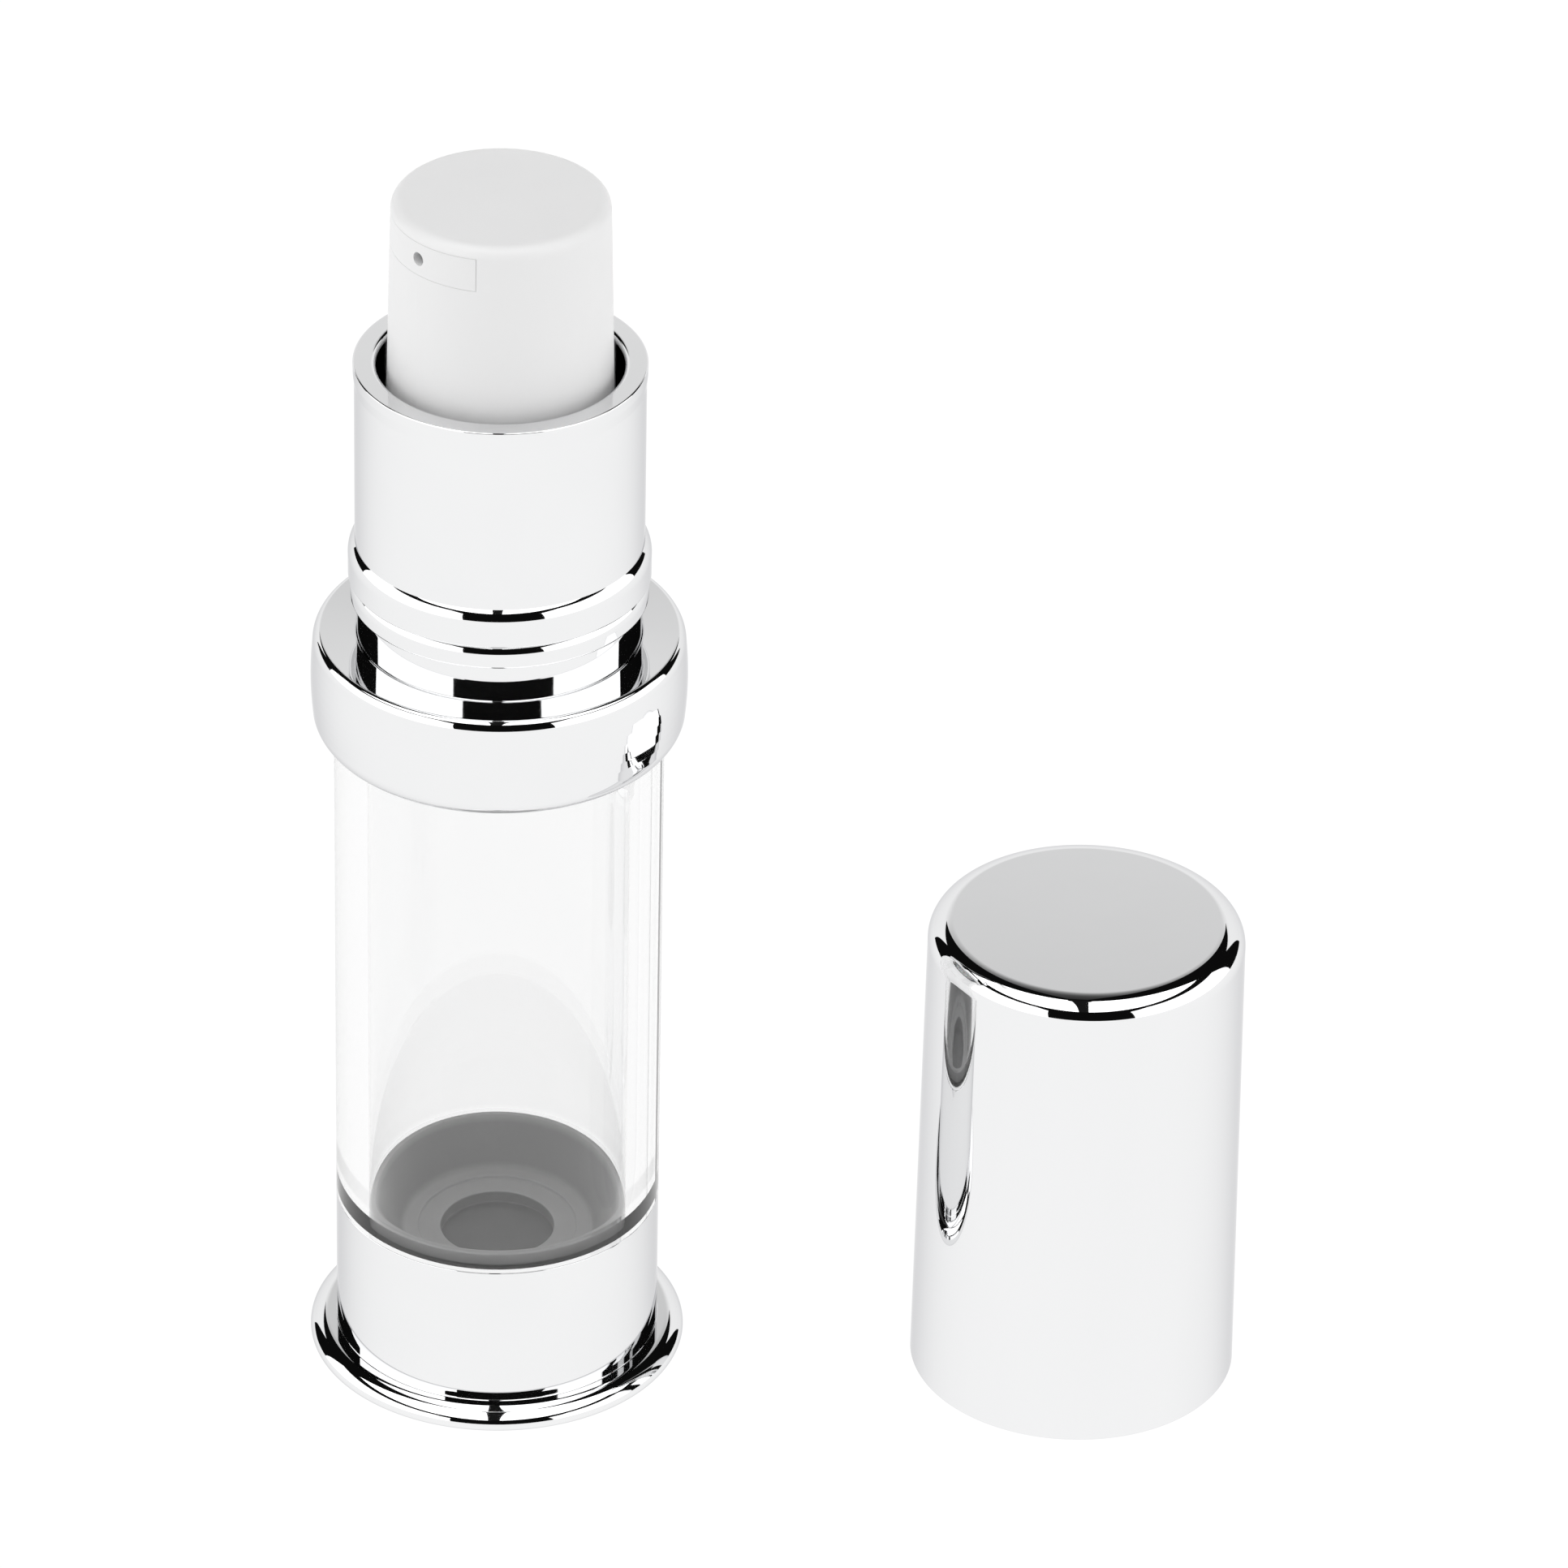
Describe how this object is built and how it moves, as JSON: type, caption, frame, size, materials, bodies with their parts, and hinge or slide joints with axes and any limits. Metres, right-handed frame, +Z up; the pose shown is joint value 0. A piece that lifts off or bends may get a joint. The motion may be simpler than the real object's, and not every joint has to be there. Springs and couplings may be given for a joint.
{
  "type": "airless pump bottle",
  "caption": "Small clear airless pump bottle with chromed base, shoulder and collar, a white push actuator and its mirror overcap standing beside it.",
  "frame": {"origin": "middle of the bottle's flat underside, on the surface that the bottle stands on", "axes": "+Z up along the bottle's axis, +X from the bottle towards the overcap that stands beside it, -Y towards the viewer"},
  "size_m": [0.0608, 0.0246, 0.0848],
  "materials": {
    "clear_plastic": "clear, polished",
    "chrome_plating": "bright mirror plating on plastic",
    "polished_aluminium": "bright anodised mirror finish",
    "white_plastic": "moulded, satin",
    "button_plastic": "moulded, fine satin",
    "natural_plastic": "moulded, milky",
    "grey_plastic": "soft moulded, satin",
    "gasket_foam": "soft, matte",
    "spring_steel": "bright drawn stainless steel"
  },
  "bodies": {
    "bottle": {"barrel": "clear_plastic", "base_ring": "chrome_plating", "base_plug": "white_plastic"},
    "piston": {"follower_piston": "grey_plastic"},
    "gasket": {"neck_gasket": "gasket_foam"},
    "pump_head": {"screw_closure": "white_plastic", "shoulder_ring": "chrome_plating", "collar_sleeve": "chrome_plating", "pump_housing": "natural_plastic", "stem_guide": "natural_plastic", "return_spring": "spring_steel"},
    "stem": {"pump_stem": "natural_plastic", "valve_tip": "natural_plastic"},
    "seal": {"dosing_piston": "natural_plastic"},
    "ball": {"inlet_ball": "spring_steel"},
    "button": {"actuator": "button_plastic", "nozzle_insert": "button_plastic"},
    "overcap": {"overcap_shell": "polished_aluminium", "overcap_lining": "white_plastic"}
  },
  "joints": [
    {"name": "overcap_lift", "type": "slide", "parent": "bottle", "child": "overcap", "axis": [0, 0, 1], "range_m": [0, 0.1]},
    {"name": "piston_rise", "type": "slide", "parent": "bottle", "child": "piston", "axis": [0, 0, 1], "range_m": [0, 0.03792]},
    {"name": "head_lift", "type": "slide", "parent": "bottle", "child": "gasket", "axis": [0, 0, 1], "range_m": [0, 0.00216]},
    {"name": "head_unscrew", "type": "hinge", "parent": "gasket", "child": "pump_head", "pos_m": [0, 0, 0.05], "axis": [0, 0, 1], "range_deg": [0, 432]},
    {"name": "actuator_press", "type": "slide", "parent": "pump_head", "child": "stem", "axis": [0, 0, -1], "range_m": [0, 0.0045], "stiffness_N_per_m": 600, "springref_m": -0.004, "deforming": ["return_spring"]},
    {"name": "actuator_turn", "type": "hinge", "parent": "stem", "child": "button", "pos_m": [0, 0, 0.075], "axis": [0, 0, 1], "continuous": true},
    {"name": "outlet_shift", "type": "slide", "parent": "stem", "child": "seal", "axis": [0, 0, 1], "range_m": [0, 0.0006]},
    {"name": "inlet_open", "type": "slide", "parent": "pump_head", "child": "ball", "axis": [0, 0, 1], "range_m": [0, 0.0007]}
  ],
  "couplings": [
    {"joint": "head_lift", "follows": "head_unscrew", "m_per_rad": 0.00028648}
  ]
}
